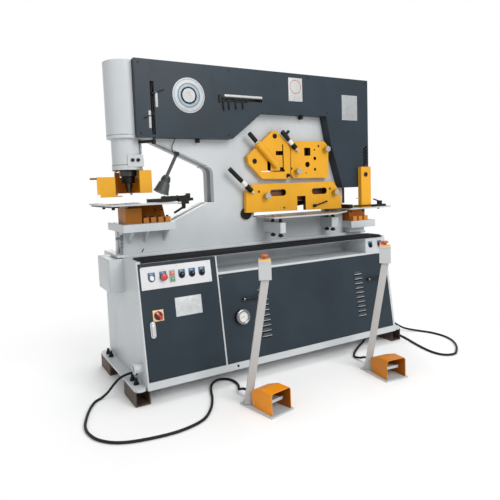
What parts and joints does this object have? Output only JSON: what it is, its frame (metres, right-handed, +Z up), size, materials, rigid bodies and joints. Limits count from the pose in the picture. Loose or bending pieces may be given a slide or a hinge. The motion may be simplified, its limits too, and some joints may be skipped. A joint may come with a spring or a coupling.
{
  "type": "ironworker machine",
  "caption": "Floor-standing hydraulic ironworker with punch, angle, bar and flat shears, notcher, work lamp, cabinet controls and free-standing foot pedals on cables.",
  "frame": {"origin": "on the floor, midway between the four anchor holes of the feet", "axes": "+Z up, +X to the right along the machine as the operator sees it, front towards -Y"},
  "size_m": [2.4998, 1.2735, 1.858],
  "materials": {
    "frame_grey": "satin light grey paint",
    "anthracite": "fine-textured anthracite paint",
    "signal_yellow": "gloss yellow-orange paint",
    "table_white": "white paint",
    "bright_steel": "ground steel",
    "dark_steel": "blackened steel",
    "brown_steel": "brown tool steel",
    "rusty_steel": "worn brown steel with rust",
    "hood_orange": "orange enamel",
    "tank_grey": "dark grey paint",
    "black_plastic": "matte black",
    "red_plastic": "gloss red",
    "green_plastic": "gloss green",
    "white_plastic": "gloss white",
    "cable_rubber": "black cable sheath"
  },
  "bodies": {
    "machine": {"frame_front_plate": "frame_grey", "frame_rear_plate": "frame_grey", "frame_base": "frame_grey", "nose_housing": "frame_grey", "punch_cylinder": "frame_grey", "head_cover": "anthracite", "rear_cover": "anthracite", "cabinet": "frame_grey", "cabinet_feet": "rusty_steel", "power_unit": "tank_grey", "junction_box": "frame_grey", "punch_table": "table_white", "die_bolster": "signal_yellow", "angle_holddown": "signal_yellow", "bar_holddown": "signal_yellow", "flat_holddown": "signal_yellow", "shear_table": "table_white", "lower_blades": "bright_steel", "notch_table": "table_white", "notch_die": "signal_yellow", "pedal_station_left": "hood_orange", "pedal_station_right": "hood_orange", "cord_left": "cable_rubber", "cord_right": "cable_rubber"},
    "punch_ram": {"punch_ram": "bright_steel"},
    "stop_upper": {"stop_upper": "dark_steel"},
    "stop_lower": {"stop_lower": "dark_steel"},
    "shear_beam": {"shear_beam": "frame_grey"},
    "shear_piston": {"shear_piston": "bright_steel"},
    "notch_ram": {"notch_ram": "brown_steel"},
    "stripper": {"stripper": "signal_yellow"},
    "angle_screw": {"angle_screw": "dark_steel"},
    "bar_screw": {"bar_screw": "dark_steel"},
    "flat_screw": {"flat_screw": "dark_steel"},
    "knob_bar_left": {"knob_bar_left": "bright_steel"},
    "knob_bar_right": {"knob_bar_right": "bright_steel"},
    "knob_flat_left": {"knob_flat_left": "bright_steel"},
    "knob_flat_right": {"knob_flat_right": "bright_steel"},
    "table_stop": {"table_stop": "bright_steel"},
    "stop_lever": {"stop_lever": "dark_steel"},
    "notch_stop": {"notch_stop": "dark_steel"},
    "shear_lever": {"shear_lever": "dark_steel"},
    "lamp": {"lamp": "dark_steel"},
    "electrics_door": {"electrics_door": "anthracite"},
    "main_switch": {"main_switch": "red_plastic"},
    "door_lock": {"door_lock": "bright_steel"},
    "louvred_cover": {"louvred_cover": "anthracite"},
    "white_button": {"white_button": "white_plastic"},
    "panel_estop": {"panel_estop": "red_plastic"},
    "start_button": {"start_button": "green_plastic"},
    "stop_button": {"stop_button": "red_plastic"},
    "selector_left": {"selector_left": "black_plastic"},
    "selector_middle": {"selector_middle": "black_plastic"},
    "selector_right": {"selector_right": "black_plastic"},
    "box_selector": {"box_selector": "black_plastic"},
    "box_estop": {"box_estop": "red_plastic"},
    "pedal_left": {"pedal_left": "bright_steel"},
    "pedal_right": {"pedal_right": "bright_steel"},
    "post_estop_left": {"post_estop_left": "red_plastic"},
    "post_estop_right": {"post_estop_right": "red_plastic"}
  },
  "joints": [
    {"name": "punch_stroke", "type": "slide", "parent": "machine", "child": "punch_ram", "axis": [0, 0, -1], "range_m": [0, 0.08]},
    {"name": "upper_stop_slide", "type": "slide", "parent": "punch_ram", "child": "stop_upper", "axis": [0, 0, 1], "range_m": [-0.05, 0.04]},
    {"name": "lower_stop_slide", "type": "slide", "parent": "punch_ram", "child": "stop_lower", "axis": [0, 0, 1], "range_m": [-0.02, 0.03]},
    {"name": "stripper_height", "type": "slide", "parent": "machine", "child": "stripper", "axis": [0, 0, -1], "range_m": [0, 0.03]},
    {"name": "shear_rock", "type": "hinge", "parent": "machine", "child": "shear_beam", "pos_m": [-0.074, 0.048, 0.951], "axis": [0, 1, 0], "range_deg": [0, 5]},
    {"name": "shear_piston_stroke", "type": "slide", "parent": "machine", "child": "shear_piston", "axis": [0, 0, -1], "range_m": [0, 0.0755]},
    {"name": "notch_stroke", "type": "slide", "parent": "machine", "child": "notch_ram", "axis": [0, 0, -1], "range_m": [0, 0.0755]},
    {"name": "angle_clamp_screw", "type": "slide", "parent": "machine", "child": "angle_screw", "axis": [-0.6947, 0, 0.7193], "range_m": [0, 0.03]},
    {"name": "bar_clamp_screw", "type": "slide", "parent": "machine", "child": "bar_screw", "axis": [-0.7193, 0, 0.6947], "range_m": [0, 0.03]},
    {"name": "flat_clamp_screw", "type": "slide", "parent": "machine", "child": "flat_screw", "axis": [-0.7314, 0, 0.682], "range_m": [0, 0.03]},
    {"name": "knob_bar_left_turn", "type": "hinge", "parent": "machine", "child": "knob_bar_left", "pos_m": [0.305, -0.098, 1.215], "axis": [0, 1, 0], "continuous": true},
    {"name": "knob_bar_right_turn", "type": "hinge", "parent": "machine", "child": "knob_bar_right", "pos_m": [0.555, -0.098, 1.366], "axis": [0, 1, 0], "continuous": true},
    {"name": "knob_flat_left_turn", "type": "hinge", "parent": "machine", "child": "knob_flat_left", "pos_m": [0.052, -0.098, 1.061], "axis": [0, 1, 0], "continuous": true},
    {"name": "knob_flat_right_turn", "type": "hinge", "parent": "machine", "child": "knob_flat_right", "pos_m": [0.627, -0.098, 1.063], "axis": [0, 1, 0], "continuous": true},
    {"name": "table_stop_slide", "type": "slide", "parent": "machine", "child": "table_stop", "axis": [1, 0, 0], "range_m": [-0.035, 0.06]},
    {"name": "stop_lever_turn", "type": "hinge", "parent": "table_stop", "child": "stop_lever", "pos_m": [-0.52, -0.062, 1.019], "axis": [0, 0, 1], "range_deg": [-50, 50]},
    {"name": "notch_stop_slide", "type": "slide", "parent": "machine", "child": "notch_stop", "axis": [0, -1, 0], "range_m": [0, 0.05]},
    {"name": "shear_lever_turn", "type": "hinge", "parent": "machine", "child": "shear_lever", "pos_m": [0.451, -0.084, 0.977], "axis": [0, 1, 0], "range_deg": [-60, 25]},
    {"name": "lamp_tilt", "type": "hinge", "parent": "machine", "child": "lamp", "pos_m": [-0.52768, -0.003, 1.33398], "axis": [0, 1, 0], "range_deg": [-20, 8]},
    {"name": "electrics_door_hinge", "type": "hinge", "parent": "machine", "child": "electrics_door", "pos_m": [-0.446, -0.33377, 0.39907], "axis": [0, 0.1553, 0.9879], "range_deg": [0, 85]},
    {"name": "main_switch_turn", "type": "hinge", "parent": "electrics_door", "child": "main_switch", "pos_m": [-0.806, -0.34259, 0.45886], "axis": [0, -0.9879, 0.1553], "range_deg": [0, 90]},
    {"name": "door_lock_turn", "type": "hinge", "parent": "electrics_door", "child": "door_lock", "pos_m": [-0.842, -0.34248, 0.42093], "axis": [0, -0.9879, 0.1553], "range_deg": [0, 90]},
    {"name": "louvred_cover_lift", "type": "slide", "parent": "machine", "child": "louvred_cover", "axis": [0, -0.9879, 0.1553], "range_m": [0, 0.15]},
    {"name": "white_button_push", "type": "slide", "parent": "electrics_door", "child": "white_button", "axis": [0, 0.9879, -0.1553], "range_m": [0, 0.004], "stiffness_N_per_m": 400, "springref_m": -0.002},
    {"name": "start_button_push", "type": "slide", "parent": "electrics_door", "child": "start_button", "axis": [0, 0.9879, -0.1553], "range_m": [0, 0.004], "stiffness_N_per_m": 400, "springref_m": -0.002},
    {"name": "stop_button_push", "type": "slide", "parent": "electrics_door", "child": "stop_button", "axis": [0, 0.9879, -0.1553], "range_m": [0, 0.004], "stiffness_N_per_m": 400, "springref_m": -0.002},
    {"name": "panel_estop_push", "type": "slide", "parent": "electrics_door", "child": "panel_estop", "axis": [0, 0.9879, -0.1553], "range_m": [0, 0.005]},
    {"name": "selector_left_turn", "type": "hinge", "parent": "electrics_door", "child": "selector_left", "pos_m": [-0.649, -0.31147, 0.65686], "axis": [0, -0.9879, 0.1553], "range_deg": [-45, 45]},
    {"name": "selector_middle_turn", "type": "hinge", "parent": "electrics_door", "child": "selector_middle", "pos_m": [-0.588, -0.31147, 0.65686], "axis": [0, -0.9879, 0.1553], "range_deg": [-45, 45]},
    {"name": "selector_right_turn", "type": "hinge", "parent": "electrics_door", "child": "selector_right", "pos_m": [-0.528, -0.31147, 0.65686], "axis": [0, -0.9879, 0.1553], "range_deg": [-45, 45]},
    {"name": "box_selector_turn", "type": "hinge", "parent": "machine", "child": "box_selector", "pos_m": [0.76, -0.304, 0.69155], "axis": [0, -0.9879, 0.1553], "range_deg": [-45, 45]},
    {"name": "box_estop_push", "type": "slide", "parent": "machine", "child": "box_estop", "axis": [0, 0.9879, -0.1553], "range_m": [0, 0.005]},
    {"name": "pedal_left_press", "type": "hinge", "parent": "machine", "child": "pedal_left", "pos_m": [-0.39843, -0.71933, 0.042], "axis": [0.9816, 0.1908, 0], "range_deg": [0, 10], "stiffness_Nm_per_rad": 4, "springref_deg": -20.05},
    {"name": "post_estop_left_push", "type": "slide", "parent": "machine", "child": "post_estop_left", "axis": [0, 0, -1], "range_m": [0, 0.005]},
    {"name": "pedal_right_press", "type": "hinge", "parent": "machine", "child": "pedal_right", "pos_m": [0.41388, -0.7351, 0.042], "axis": [0.9945, -0.1045, 0], "range_deg": [0, 10], "stiffness_Nm_per_rad": 4, "springref_deg": -20.05},
    {"name": "post_estop_right_push", "type": "slide", "parent": "machine", "child": "post_estop_right", "axis": [0, 0, -1], "range_m": [0, 0.005]}
  ],
  "couplings": [
    {"joint": "shear_piston_stroke", "follows": "shear_rock", "m_per_rad": 0.8586},
    {"joint": "notch_stroke", "follows": "shear_rock", "m_per_rad": 0.852}
  ]
}
